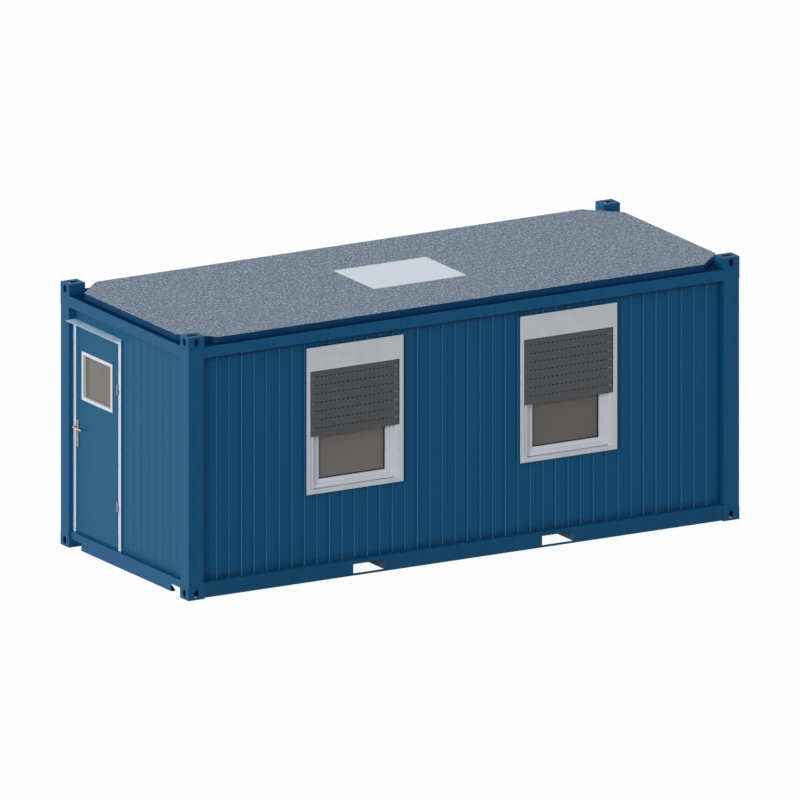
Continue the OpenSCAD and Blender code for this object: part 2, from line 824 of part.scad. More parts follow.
bottom_castings();
top_castings();
corner_posts();
floor_side_rails();
floor_end_rails();
fork_pockets();
floor_cross_members();
floor_board();
roof_side_rails();
roof_end_rails();
ceiling();
roof_curb();
roof_deck();
roof_corner_plates();
back_wall();
far_end_wall();
door_wall_side();
door_wall_head();
window_wall_panels();
window_wall_below();
window_wall_above();
door_frame();
door_threshold();
door_canopy();
door_leaf();
door_light_trim();
door_glass();
door_handle_plates();
door_lever();
door_hinges_frame();
door_hinges_leaf();
window_cover(-1);  // left_window_cover
window_shutter(-1);  // left_window_shutter
window_guides(-1);  // left_window_guides
window_frame(-1);  // left_window_frame
window_sash(-1);  // left_window_sash
window_glass(-1);  // left_window_glass
window_cover(1);  // right_window_cover
window_shutter(1);  // right_window_shutter
window_guides(1);  // right_window_guides
window_frame(1);  // right_window_frame
window_sash(1);  // right_window_sash
window_glass(1);  // right_window_glass
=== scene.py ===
import math

import bmesh
import bpy
import numpy as np
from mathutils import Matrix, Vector


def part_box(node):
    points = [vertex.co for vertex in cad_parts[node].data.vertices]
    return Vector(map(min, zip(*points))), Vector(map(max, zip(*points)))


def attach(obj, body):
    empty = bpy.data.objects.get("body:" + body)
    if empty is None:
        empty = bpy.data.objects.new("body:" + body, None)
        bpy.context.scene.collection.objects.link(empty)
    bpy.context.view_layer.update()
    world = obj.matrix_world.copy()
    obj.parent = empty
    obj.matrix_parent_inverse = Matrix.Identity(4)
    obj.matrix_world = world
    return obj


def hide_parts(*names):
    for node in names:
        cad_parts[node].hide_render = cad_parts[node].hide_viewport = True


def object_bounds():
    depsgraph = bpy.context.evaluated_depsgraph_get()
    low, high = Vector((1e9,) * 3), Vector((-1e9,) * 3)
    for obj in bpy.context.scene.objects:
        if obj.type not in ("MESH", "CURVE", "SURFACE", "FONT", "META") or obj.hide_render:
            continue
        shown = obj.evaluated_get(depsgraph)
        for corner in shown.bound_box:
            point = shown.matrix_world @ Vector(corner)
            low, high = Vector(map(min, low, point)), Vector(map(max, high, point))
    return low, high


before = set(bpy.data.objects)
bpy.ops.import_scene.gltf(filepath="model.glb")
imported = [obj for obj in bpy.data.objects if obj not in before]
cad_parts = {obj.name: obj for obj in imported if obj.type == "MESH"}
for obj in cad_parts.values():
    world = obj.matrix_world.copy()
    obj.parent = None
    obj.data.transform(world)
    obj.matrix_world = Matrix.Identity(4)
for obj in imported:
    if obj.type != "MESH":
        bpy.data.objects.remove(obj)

cad_low, cad_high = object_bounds()


# ---------------------------------------------------------------- studio
# The cabin stands on a plain pale floor under soft light. One low sun strikes the door end, and
# a raking one picks out the grooves of the long wall. The view is a parallel one from the front
# left, 15 degrees down.

VIEW_AZIMUTH = math.radians(-30)
VIEW_ELEVATION = math.radians(15)
VIEW_SPAN = 7.6125
VIEW_DISTANCE = 24.0


def srgb(hex_colour):
    """A colour given as sRGB hex, as linear RGBA."""
    parts = np.array([int(hex_colour[i:i + 2], 16) for i in (1, 3, 5)]) / 255
    linear = np.where(parts <= 0.04045, parts / 12.92, ((parts + 0.055) / 1.055) ** 2.4)
    return (*linear.tolist(), 1.0)


def add_node(tree, kind, settings=None, links=None):
    """Adds a node, sets its properties or unlinked inputs, and links its other inputs.
    A key that is a number or an input's name is an input; any other key is a property."""
    node = tree.nodes.new(kind)
    for key, value in (settings or {}).items():
        if isinstance(key, int) or key in node.inputs:
            node.inputs[key].default_value = value
        else:
            setattr(node, key, value)
    for key, socket in (links or {}).items():
        tree.links.new(socket, node.inputs[key])
    return node


def new_material(name):
    """An empty node material, its tree and the output node."""
    material = bpy.data.materials.new(name)
    material.use_nodes = True
    tree = material.node_tree
    tree.nodes.clear()
    return material, tree, tree.nodes.new("ShaderNodeOutputMaterial")


def studio_floor():
    """Matt pale paper: bright where the view or a reflection meets it, and plain mid grey to
    the soft light that it throws back, so that the recesses of the cabin stay deep."""
    material, tree, out = new_material("pale_studio_paper")
    paper = add_node(tree, "ShaderNodeBsdfDiffuse", {"Color": srgb("#e9ebee")})
    glow = add_node(tree, "ShaderNodeEmission", {"Color": srgb("#fefefe"), "Strength": 1.02})
    seen = add_node(tree, "ShaderNodeMixShader", {"Fac": 0.93},
                    {1: paper.outputs[0], 2: glow.outputs[0]})
    dull = add_node(tree, "ShaderNodeBsdfDiffuse", {"Color": srgb("#8f9194")})
    ray = add_node(tree, "ShaderNodeLightPath")
    direct = add_node(tree, "ShaderNodeMath", {"operation": "MAXIMUM"},
                      {0: ray.outputs["Is Camera Ray"], 1: ray.outputs["Is Glossy Ray"]})
    mix = add_node(tree, "ShaderNodeMixShader", {},
                   {0: direct.outputs[0], 1: dull.outputs[0], 2: seen.outputs[0]})
    tree.links.new(mix.outputs[0], out.inputs["Surface"])
    half = 90.0
    mesh = bpy.data.meshes.new("studio_floor")
    mesh.from_pydata([(-half, -half, 0), (half, -half, 0), (half, half, 0), (-half, half, 0)],
                     [], [(0, 1, 2, 3)])
    mesh.materials.append(material)
    floor = bpy.data.objects.new("studio_floor", mesh)
    bpy.context.scene.collection.objects.link(floor)


def studio_camera():
    """Parallel camera, aimed at the middle of the cabin's height over its origin."""
    back = Vector((math.sin(VIEW_AZIMUTH) * math.cos(VIEW_ELEVATION),
                   -math.cos(VIEW_AZIMUTH) * math.cos(VIEW_ELEVATION),
                   math.sin(VIEW_ELEVATION)))
    data = bpy.data.cameras.new("view")
    data.type = "ORTHO"
    data.ortho_scale = VIEW_SPAN
    data.clip_end = 200
    camera = bpy.data.objects.new("view", data)
    camera.location = Vector((0, 0, cad_high.z / 2)) + back * VIEW_DISTANCE
    camera.rotation_euler = back.to_track_quat("Z", "Y").to_euler()
    bpy.context.scene.collection.objects.link(camera)
    bpy.context.scene.camera = camera


def studio_sun(name, direction, strength, spread_degrees, colour):
    """A broad soft light that comes from a direction."""
    data = bpy.data.lights.new(name, "SUN")
    data.energy = strength
    data.angle = math.radians(spread_degrees)
    data.color = srgb(colour)[:3]
    sun = bpy.data.objects.new(name, data)
    sun.rotation_euler = Vector(direction).to_track_quat("Z", "Y").to_euler()
    bpy.context.scene.collection.objects.link(sun)


studio_floor()
studio_camera()
studio_sun("key_end", (-0.93, 0.30, 0.18), 1.05, 4, "#fffaf2")
studio_sun("raking_front", (-0.80, -0.50, 0.28), 1.25, 12, "#fbfbff")
world = bpy.data.worlds.new("studio_room")
world.use_nodes = True
room_light = world.node_tree.nodes["Background"]
room_light.inputs["Color"].default_value = srgb("#f4f7fb")
room_light.inputs["Strength"].default_value = 0.76
bpy.context.scene.world = world
bpy.context.scene.view_settings.view_transform = "Standard"


# ---------------------------------------------------------------- steel frame
# Cast corner blocks, folded posts and channel rails of mild steel, welded together and
# sprayed with two coats of gentian blue coach enamel over a zinc primer.

FRAME_BLUE = "#024f77"
DARK_FRAME_BLUE = "#024a70"
POST_FACE, POST_SIDE = 0.170, 0.154
WELD_RADIUS = 0.0016
WELD_RIPPLE = 0.2


def object_place(tree, scale=(1, 1, 1)):
    """Object coordinates in metres, stretched by scale along each axis."""
    place = add_node(tree, "ShaderNodeTexCoord")
    return add_node(tree, "ShaderNodeMapping", {"Scale": scale},
                    {"Vector": place.outputs["Object"]}).outputs["Vector"]


def coach_enamel(name, colour, worn_colour, gloss_roughness=0.42, top_shade=0.0):
    """Sprayed enamel on steel: a fine orange peel about 5 mm across that breaks up the gloss,
    clouds of dust a hand wide, and faint streaks that rain has drawn down the steel. On faces
    that look up, a matt dark navy is painted in as shade, in the share given by the last
    argument, and takes the gloss away."""
    material, tree, out = new_material(name)
    peel = add_node(tree, "ShaderNodeTexNoise", {"Scale": 200, "Detail": 2},
                    {"Vector": object_place(tree)})
    cloud = add_node(tree, "ShaderNodeTexNoise", {"Scale": 5, "Detail": 4, "Roughness": 0.6},
                     {"Vector": object_place(tree)})
    streak = add_node(tree, "ShaderNodeTexNoise", {"Scale": 9, "Detail": 3},
                      {"Vector": object_place(tree, (4, 4, 0.3))})
    dirt = add_node(tree, "ShaderNodeMath", {"operation": "MULTIPLY"},
                    {0: cloud.outputs["Fac"], 1: streak.outputs["Fac"]})
    share = add_node(tree, "ShaderNodeMapRange",
                     {"From Min": 0.18, "From Max": 0.45, "To Min": 0.0, "To Max": 0.07},
                     {"Value": dirt.outputs[0]})
    paint = add_node(tree, "ShaderNodeMix",
                     {"data_type": "RGBA", 6: srgb(colour), 7: srgb(worn_colour)},
                     {0: share.outputs["Result"]})
    rough = add_node(tree, "ShaderNodeMapRange",
                     {"From Min": 0.3, "From Max": 0.7, "To Min": gloss_roughness - 0.05,
                      "To Max": gloss_roughness + 0.08},
                     {"Value": cloud.outputs["Fac"]})
    # Painted shade: faces that look up turn matt dark navy and lose their gloss.
    facing = add_node(tree, "ShaderNodeTexCoord")
    upward = add_node(tree, "ShaderNodeSeparateXYZ", {}, {"Vector": facing.outputs["Normal"]})
    painted_shade = add_node(tree, "ShaderNodeMapRange",
                     {"From Min": 0.8, "From Max": 1.0, "To Min": 0.0, "To Max": top_shade},
                     {"Value": upward.outputs["Z"]})
    top_shaded = add_node(tree, "ShaderNodeMix", {"data_type": "RGBA", 7: srgb("#012a4c")},
                     {0: painted_shade.outputs["Result"], 6: paint.outputs[2]})
    gloss = add_node(tree, "ShaderNodeMapRange", {"To Min": 0.16, "To Max": 0.0},
                     {"Value": painted_shade.outputs["Result"]})
    bump = add_node(tree, "ShaderNodeBump", {"Strength": 0.06, "Distance": 0.001},
                    {"Height": peel.outputs["Fac"]})
    coat = add_node(tree, "ShaderNodeBsdfPrincipled", {"IOR": 1.5},
                    {"Base Color": top_shaded.outputs[2], "Roughness": rough.outputs["Result"],
                     "Specular IOR Level": gloss.outputs["Result"],
                     "Normal": bump.outputs["Normal"]})
    tree.links.new(coat.outputs[0], out.inputs["Surface"])
    return material


def finish_mesh(name, mesh, material, body, smooth_degrees=None):
    """Puts a mesh into the scene as a piece that rides on a body and has a finish slot."""
    mesh.materials.clear()
    mesh.materials.append(material)
    piece = bpy.data.objects.new(name, mesh)
    bpy.context.scene.collection.objects.link(piece)
    if smooth_degrees is not None:
        mesh.polygons.foreach_set("use_smooth", np.ones(len(mesh.polygons), bool))
        mesh.set_sharp_from_angle(angle=math.radians(smooth_degrees))
    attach(piece, body)
    return piece


def softened(node, radius, material, body="cabin"):
    """A copy of a node whose facets are merged into whole faces and whose edges are broken by
    the bend or grinding radius that the real piece has, in place of the sharp node."""
    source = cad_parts[node]
    shape = bmesh.new()
    shape.from_mesh(source.data)
    bmesh.ops.remove_doubles(shape, verts=shape.verts, dist=1e-5)
    bmesh.ops.dissolve_limit(shape, angle_limit=math.radians(0.5), verts=shape.verts,
                             edges=shape.edges)
    mesh = bpy.data.meshes.new(node + "_shaped")
    shape.to_mesh(mesh)
    shape.free()
    piece = finish_mesh(node + "_shaped", mesh, material, body, 35)
    round_off = piece.modifiers.new("broken_edges", "BEVEL")
    round_off.width = radius
    round_off.segments = 2
    round_off.limit_method = "ANGLE"
    round_off.angle_limit = math.radians(40)
    round_off.harden_normals = True
    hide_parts(node)
    return piece


frame_enamel = coach_enamel("gentian_blue_coach_enamel", FRAME_BLUE, "#5f8299")
dark_enamel = coach_enamel("gentian_blue_rail_enamel", DARK_FRAME_BLUE, "#55788f")
for node, radius in (("bottom_castings", 0.004), ("top_castings", 0.004),
                     ("corner_posts", 0.003), ("floor_end_rails", 0.003)):
    softened(node, radius, frame_enamel)
# The roof rails' upward faces carry painted shade: their tops beside the roof edge are dark matt
# navy.
roof_enamel = coach_enamel("gentian_blue_roof_rail_enamel", FRAME_BLUE, "#5f8299", top_shade=0.95)
for node in ("roof_side_rails", "roof_end_rails"):
    softened(node, 0.003, roof_enamel)
softened("floor_side_rails", 0.003, dark_enamel)


def tube_along(points, radius, sides=10, ripple=0.0, pitch=0.006):
    """A closed tube: circles carried along a straight path from the first to the last point,
    whose radius swells and sinks by the share ripple once every pitch and is pinched to a
    fifth at both ends."""
    start, end = (np.array(p, float) for p in points)
    length = np.linalg.norm(end - start)
    along = (end - start) / length
    side = np.cross(along, (0.31, 0.52, 0.8))
    side /= np.linalg.norm(side)
    other = np.cross(along, side)
    rings = max(2, int(length / (pitch / 4)))
    s = np.linspace(0, length, rings)
    r = radius * (1 + ripple * np.sin(2 * math.pi * s / pitch))
    r[[0, -1]] *= 0.2
    turn = np.linspace(0, 2 * math.pi, sides, endpoint=False)
    circle = np.cos(turn)[:, None] * side + np.sin(turn)[:, None] * other
    verts = (start + s[:, None] * along)[:, None, :] + r[:, None, None] * circle[None]
    return verts.reshape(-1, 3), tube_faces(rings, sides)


def tube_faces(rings, sides):
    """Quads of a tube of rings times sides points, with a fan face at both ends."""
    i, j = np.meshgrid(np.arange(rings - 1), np.arange(sides), indexing="ij")
    k = (j + 1) % sides
    quads = np.stack([i * sides + j, i * sides + k, (i + 1) * sides + k,
                      (i + 1) * sides + j], -1).reshape(-1, 4)
    ends = [list(range(sides))[::-1], list(range((rings - 1) * sides, rings * sides))]
    return quads.tolist() + ends


def joined_mesh(name, parts):
    """One mesh from many (points, faces) parts, with its faces turned outwards."""
    verts, faces, start = [], [], 0
    for points, polygons in parts:
        verts.append(np.asarray(points, float))
        faces += [[start + v for v in face] for face in polygons]
        start += len(points)
    mesh = bpy.data.meshes.new(name)
    mesh.from_pydata(np.concatenate(verts).tolist(), [], faces)
    shape = bmesh.new()
    shape.from_mesh(mesh)
    bmesh.ops.recalc_face_normals(shape, faces=shape.faces)
    shape.to_mesh(mesh)
    shape.free()
    return mesh


def weld_beads():
    """Fillet welds, 3 mm high with a ripple every 6 mm, where each post meets the
    casting above and below it."""
    post_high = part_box("corner_posts")[1]
    casting_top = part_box("bottom_castings")[1].z
    parts = []
    for sx in (-1, 1):
        for sy in (-1, 1):
            x, y = sx * post_high.x, sy * post_high.y
            for z in (casting_top, post_high.z):
                for end in ((x - sx * POST_FACE, y, z), (x, y - sy * POST_SIDE, z)):
                    parts.append(tube_along([(x, y, z), end], WELD_RADIUS, ripple=WELD_RIPPLE))
    finish_mesh("frame_weld_beads", joined_mesh("frame_weld_beads", parts), frame_enamel,
                "cabin", 60)


weld_beads()


# ---------------------------------------------------------------- floor frame
# Fork covers folded from the rails' own blue steel and cold-rolled cross members, hot-dip
# galvanised, under a cement-bonded board that carries grey speckled vinyl.


def hot_dip_zinc(name, colour, light_colour, spangle_mm=22):
    """Galvanised steel: crystals a thumb's width across, each with its own grey and gloss."""
    material, tree, out = new_material(name)
    crystal = add_node(tree, "ShaderNodeTexVoronoi", {"Scale": 1000 / spangle_mm},
                       {"Vector": object_place(tree)})
    tone = add_node(tree, "ShaderNodeSeparateColor", {}, {"Color": crystal.outputs["Color"]})
    zinc = add_node(tree, "ShaderNodeMix",
                    {"data_type": "RGBA", 6: srgb(colour), 7: srgb(light_colour)},
                    {0: tone.outputs["Red"]})
    rough = add_node(tree, "ShaderNodeMapRange", {"To Min": 0.38, "To Max": 0.62},
                     {"Value": tone.outputs["Green"]})
    bump = add_node(tree, "ShaderNodeBump", {"Strength": 0.12, "Distance": 0.0006},
                    {"Height": crystal.outputs["Distance"]})
    metal = add_node(tree, "ShaderNodeBsdfPrincipled", {"Metallic": 0.75},
                     {"Base Color": zinc.outputs[2], "Roughness": rough.outputs["Result"],
                      "Normal": bump.outputs["Normal"]})
    tree.links.new(metal.outputs[0], out.inputs["Surface"])
    return material


def dressed(node, material):
    """Gives a CAD node's own mesh its material."""
    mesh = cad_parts[node].data
    mesh.materials.clear()
    mesh.materials.append(material)


def vinyl_floor():
    """Sheet vinyl with chips a few millimetres across in three greys, under a satin wear
    layer."""
    material, tree, out = new_material("speckled_sheet_vinyl")
    chip = add_node(tree, "ShaderNodeTexVoronoi", {"Scale": 260},
                    {"Vector": object_place(tree)})
    tone = add_node(tree, "ShaderNodeSeparateColor", {}, {"Color": chip.outputs["Color"]})
    steps = add_node(tree, "ShaderNodeValToRGB", {}, {"Fac": tone.outputs["Red"]})
    ramp = steps.color_ramp
    ramp.interpolation = "CONSTANT"
    ramp.elements[0].color = srgb("#8b8780")
    ramp.elements[1].position = 0.72
    ramp.elements[1].color = srgb("#a19d95")
    ramp.elements.new(0.88).color = srgb("#6d6a66")
    scuff = add_node(tree, "ShaderNodeTexNoise", {"Scale": 14, "Detail": 5},
                     {"Vector": object_place(tree)})
    rough = add_node(tree, "ShaderNodeMapRange", {"To Min": 0.35, "To Max": 0.6},
                     {"Value": scuff.outputs["Fac"]})
    vinyl = add_node(tree, "ShaderNodeBsdfPrincipled", {"IOR": 1.52},
                     {"Base Color": steps.outputs["Color"],
                      "Roughness": rough.outputs["Result"]})
    tree.links.new(vinyl.outputs[0], out.inputs["Surface"])
    return material


dressed("fork_pockets", dark_enamel)
dressed("floor_cross_members", hot_dip_zinc("hot_dip_galvanised_steel", "#5a666f", "#78848d"))
dressed("floor_board", vinyl_floor())


# ---------------------------------------------------------------- roof
# A sandwich core let in between the rails, edged in folded blue sheet and covered by one deck
# of stucco-embossed, zinc-coated sheet; blue plates close the corners beside the castings.


def embossed_roof_sheet():
    """Embossed coated sheet: short raised flecks about 12 mm long lie at a slant all over it,
    with a painted highlight on each crest and painted blue-grey shade in each hollow, and wide
    faint clouds of weathering."""
    material, tree, out = new_material("stucco_embossed_zinc_sheet")
    place = add_node(tree, "ShaderNodeTexCoord")
    slanted = add_node(tree, "ShaderNodeMapping",
                       {"Rotation": (0, 0, math.radians(38)), "Scale": (1.0, 0.5, 1.0)},
                       {"Vector": place.outputs["Object"]})
    fleck = add_node(tree, "ShaderNodeTexNoise",
                     {"Scale": 62, "Detail": 3, "Roughness": 0.65, "Distortion": 0.6},
                     {"Vector": slanted.outputs["Vector"]})
    cloud = add_node(tree, "ShaderNodeTexNoise", {"Scale": 1.4, "Detail": 3},
                     {"Vector": object_place(tree)})
    # Painted highlight and shade: the crests of the flecks pale, their hollows blue-grey.
    steps = add_node(tree, "ShaderNodeValToRGB", {}, {"Fac": fleck.outputs["Fac"]})
    ramp = steps.color_ramp
    ramp.elements[0].position = 0.34
    ramp.elements[0].color = srgb("#36526a")
    ramp.elements[1].position = 0.66
    ramp.elements[1].color = srgb("#bcc8d2")
    ramp.elements.new(0.5).color = srgb("#67798b")
    weather = add_node(tree, "ShaderNodeMapRange", {"To Min": 0.0, "To Max": 0.25},
                       {"Value": cloud.outputs["Fac"]})
    sheet = add_node(tree, "ShaderNodeMix", {"data_type": "RGBA", 7: srgb("#788a98")},
                     {0: weather.outputs["Result"], 6: steps.outputs["Color"]})
    bump = add_node(tree, "ShaderNodeBump", {"Strength": 0.5, "Distance": 0.002},
                    {"Height": fleck.outputs["Fac"]})
    metal = add_node(tree, "ShaderNodeBsdfPrincipled",
                     {"Metallic": 0.15, "Roughness": 0.55, "Specular IOR Level": 0.3},
                     {"Base Color": sheet.outputs[2], "Normal": bump.outputs["Normal"]})
    tree.links.new(metal.outputs[0], out.inputs["Surface"])
    return material


def ceiling_laminate():
    """White melamine-faced board: an even white with a fine pore and a satin gloss."""
    material, tree, out = new_material("white_melamine_board")
    pore = add_node(tree, "ShaderNodeTexNoise", {"Scale": 400, "Detail": 2},
                    {"Vector": object_place(tree)})
    white = add_node(tree, "ShaderNodeMix",
                     {"data_type": "RGBA", 6: srgb("#dcdcd6"), 7: srgb("#eeeeea")},
                     {0: pore.outputs["Fac"]})
    board = add_node(tree, "ShaderNodeBsdfPrincipled", {"Roughness": 0.45, "IOR": 1.5},
                     {"Base Color": white.outputs[2]})
    tree.links.new(board.outputs[0], out.inputs["Surface"])
    return material


def roof_blank_field(side=(1.02, 0.78), film=0.0004):
    """A plain rectangle of pale roof paint in the middle of the deck, with no sign on it."""
    material, tree, out = new_material("pale_roof_paint")
    grain = add_node(tree, "ShaderNodeTexNoise", {"Scale": 120, "Detail": 4},
                     {"Vector": object_place(tree)})
    tone = add_node(tree, "ShaderNodeMix",
                    {"data_type": "RGBA", 6: srgb("#cfd6dd"), 7: srgb("#e4e8ec")},
                    {0: grain.outputs["Fac"]})
    bump = add_node(tree, "ShaderNodeBump", {"Strength": 0.2, "Distance": 0.001},
                    {"Height": grain.outputs["Fac"]})
    paint = add_node(tree, "ShaderNodeBsdfPrincipled", {"Roughness": 0.6},
                     {"Base Color": tone.outputs[2], "Normal": bump.outputs["Normal"]})
    tree.links.new(paint.outputs[0], out.inputs["Surface"])
    deck_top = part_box("roof_deck")[1].z
    corners = np.array([(-1, -1), (1, -1), (1, 1), (-1, 1)]) * np.array(side) / 2
    low = np.column_stack([corners, np.full(4, deck_top)])
    points = np.concatenate([low, low + (0, 0, film)])
    mesh = joined_mesh("roof_blank_field", [(points, tube_faces(2, 4))])
    finish_mesh("roof_blank_field", mesh, material, "cabin")


softened("roof_deck", 0.0012, embossed_roof_sheet())
# The edge sheet and the corner plates are a deeper navy than the frame blue, partly their paint
# and partly painted shade of the band under the deck's edge; their upward faces carry painted
# shade too.
curb_enamel = coach_enamel("gentian_blue_edge_sheet", "#023a62", "#1f4f72", 0.6, top_shade=0.95)
softened("roof_curb", 0.002, curb_enamel)
dressed("roof_corner_plates", curb_enamel)
dressed("ceiling", ceiling_laminate())
roof_blank_field()


# ---------------------------------------------------------------- wall panels
# Sandwich panels: blue coil-coated steel with pressed grooves outside, white laminate inside,
# on a mineral-wool core; they stand in the floor rails' channel and meet tongue in groove.


def coil_coated_panel(name, colour, shade_colour, across, inner_face, along, along_end):
    """Coil-coated sheet: smoother than enamel, with a faint long ripple from the roll and a
    patchy navy of painted shade over the last 6 to 10 cm before the floor rail, the roof rail and
    the posts. The side that lies nearer the room than inner_face, measured along the axis across,
    is white laminate; along_end is where the posts begin on the axis along. On the long walls
    the grooves' flanks that face -X get a painted highlight of paler blue."""
    material, tree, out = new_material(name)
    place = add_node(tree, "ShaderNodeTexCoord")
    axes = add_node(tree, "ShaderNodeSeparateXYZ", {}, {"Vector": place.outputs["Object"]})
    away = add_node(tree, "ShaderNodeMath", {"operation": "ABSOLUTE"}, {0: axes.outputs[across]})
    inside = add_node(tree, "ShaderNodeMath", {"operation": "LESS_THAN", 1: inner_face},
                      {0: away.outputs[0]})
    ripple = add_node(tree, "ShaderNodeTexNoise", {"Scale": 6, "Detail": 2},
                      {"Vector": object_place(tree, (3, 3, 0.4))})
    grit = add_node(tree, "ShaderNodeTexNoise", {"Scale": 9, "Detail": 5},
                    {"Vector": object_place(tree)})
    beside = add_node(tree, "ShaderNodeMath", {"operation": "ABSOLUTE"}, {0: axes.outputs[along]})
    # Painted shade: the sheet darkens towards the floor rail, the roof rail and the posts, made
    # patchy by noise.
    gathered = None
    over_floor, under_roof, by_post = SHADE_REACH
    height = axes.outputs["Z"]
    for share, start, end, socket in ((0.75, FLOOR_RAIL + over_floor, FLOOR_RAIL, height),
                                      (0.60, ROOF_RAIL - under_roof, ROOF_RAIL, height),
                                      (0.60, along_end - by_post, along_end, beside.outputs[0])):
        edge = add_node(tree, "ShaderNodeMapRange",
                        {"interpolation_type": "SMOOTHSTEP", "From Min": start,
                         "From Max": end, "To Min": 0.0, "To Max": share}, {"Value": socket})
        if gathered is None:
            gathered = edge.outputs["Result"]
        else:
            gathered = add_node(tree, "ShaderNodeMath", {"operation": "MAXIMUM"},
                                {0: gathered, 1: edge.outputs["Result"]}).outputs[0]
    patchy = add_node(tree, "ShaderNodeMapRange",
                      {"From Min": 0.3, "From Max": 0.6, "To Min": 0.55, "To Max": 1.0},
                      {"Value": grit.outputs["Fac"]})
    painted_shade = add_node(tree, "ShaderNodeMath", {"operation": "MULTIPLY"},
                     {0: gathered, 1: patchy.outputs["Result"]})
    blue = add_node(tree, "ShaderNodeMix",
                    {"data_type": "RGBA", 6: srgb(colour), 7: srgb(shade_colour)},
                    {0: painted_shade.outputs[0]})
    shade = add_node(tree, "ShaderNodeMapRange", {"To Min": 0.0, "To Max": 0.10},
                     {"Value": ripple.outputs["Fac"]})
    waved = add_node(tree, "ShaderNodeMix", {"data_type": "RGBA", 7: srgb("#023f66")},
                     {0: shade.outputs["Result"], 6: blue.outputs[2]})
    # Painted highlight: on the long walls the groove flanks that face -X are painted a paler
    # blue.
    facing = add_node(tree, "ShaderNodeSeparateXYZ", {}, {"Vector": place.outputs["Normal"]})
    flank = add_node(tree, "ShaderNodeMapRange",
                     {"From Min": -0.5, "From Max": -0.9, "To Min": 0.0,
                      "To Max": 0.5 if across == "Y" else 0.0}, {"Value": facing.outputs["X"]})
    flank_highlight = add_node(tree, "ShaderNodeMix", {"data_type": "RGBA", 7: srgb("#5f9cc0")},
                    {0: flank.outputs["Result"], 6: waved.outputs[2]})
    skin = add_node(tree, "ShaderNodeMix", {"data_type": "RGBA", 7: srgb("#d9dad6")},
                    {0: inside.outputs[0], 6: flank_highlight.outputs[2]})
    bump = add_node(tree, "ShaderNodeBump", {"Strength": 0.05, "Distance": 0.002},
                    {"Height": ripple.outputs["Fac"]})
    sheet = add_node(tree, "ShaderNodeBsdfPrincipled",
                     {"Roughness": 0.46, "IOR": 1.5, "Specular IOR Level": 0.16},
                     {"Base Color": skin.outputs[2], "Normal": bump.outputs["Normal"]})
    tree.links.new(sheet.outputs[0], out.inputs["Surface"])
    return material


FLOOR_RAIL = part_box("floor_side_rails")[1].z
ROOF_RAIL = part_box("roof_side_rails")[0].z
# How far the painted shade reaches above the floor rail, below the roof rail and beside the
# posts.
SHADE_REACH = (0.10, 0.09, 0.06)
LAMINATE_FILM = 0.0005
inner_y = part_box("ceiling")[1].y + LAMINATE_FILM
inner_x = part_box("ceiling")[1].x + LAMINATE_FILM
# Both walls are one panel paint: the end walls' lighter, tealer blue is that paint with a painted
# sheen for the light the end face catches, and each wall has its own navy of painted shade.
long_sheet = coil_coated_panel("coil_coated_long_wall", "#025079", "#032e4b", "Y", inner_y,
                               "X", cad_high.x - POST_FACE)
end_sheet = coil_coated_panel("coil_coated_end_wall", "#0a5375", "#064066", "X", inner_x,
                              "Y", cad_high.y - POST_SIDE)
for node in ("back_wall", "window_wall_panels", "window_wall_below", "window_wall_above"):
    dressed(node, long_sheet)
for node in ("far_end_wall", "door_wall_side", "door_wall_head"):
    dressed(node, end_sheet)


# ---------------------------------------------------------------- door frame
# Folded steel jambs and head with a small rain canopy, powder coated pale grey; a low sill
# enamelled like the floor rails; and a black hollow seal that the leaf closes against.


def powder_coat(name, colour, shaded):
    """Polyester powder: a soft texture about 2 mm across and an even, satin, near-white tone."""
    material, tree, out = new_material(name)
    grain = add_node(tree, "ShaderNodeTexNoise", {"Scale": 500, "Detail": 2},
                     {"Vector": object_place(tree)})
    cloud = add_node(tree, "ShaderNodeTexNoise", {"Scale": 7, "Detail": 4},
                     {"Vector": object_place(tree)})
    share = add_node(tree, "ShaderNodeMapRange", {"From Min": 0.35, "From Max": 0.75},
                     {"Value": cloud.outputs["Fac"]})
    tone = add_node(tree, "ShaderNodeMix",
                    {"data_type": "RGBA", 6: srgb(colour), 7: srgb(shaded)},
                    {0: share.outputs["Result"]})
    bump = add_node(tree, "ShaderNodeBump", {"Strength": 0.08, "Distance": 0.0005},
                    {"Height": grain.outputs["Fac"]})
    coat = add_node(tree, "ShaderNodeBsdfPrincipled",
                    {"Roughness": 0.42, "IOR": 1.5, "Specular IOR Level": 0.35},
                    {"Base Color": tone.outputs[2], "Normal": bump.outputs["Normal"]})
    tree.links.new(coat.outputs[0], out.inputs["Surface"])
    return material


def black_rubber():
    """Extruded EPDM: deep grey-black and matt, with a faint bloom along its length."""
    material, tree, out = new_material("extruded_epdm_rubber")
    bloom = add_node(tree, "ShaderNodeTexNoise", {"Scale": 35, "Detail": 4},
                     {"Vector": object_place(tree)})
    tone = add_node(tree, "ShaderNodeMix",
                    {"data_type": "RGBA", 6: srgb("#121314"), 7: srgb("#26282a")},
                    {0: bloom.outputs["Fac"]})
    rubber = add_node(tree, "ShaderNodeBsdfPrincipled",
                      {"Roughness": 0.7, "Specular IOR Level": 0.3},
                      {"Base Color": tone.outputs[2]})
    tree.links.new(rubber.outputs[0], out.inputs["Surface"])
    return material


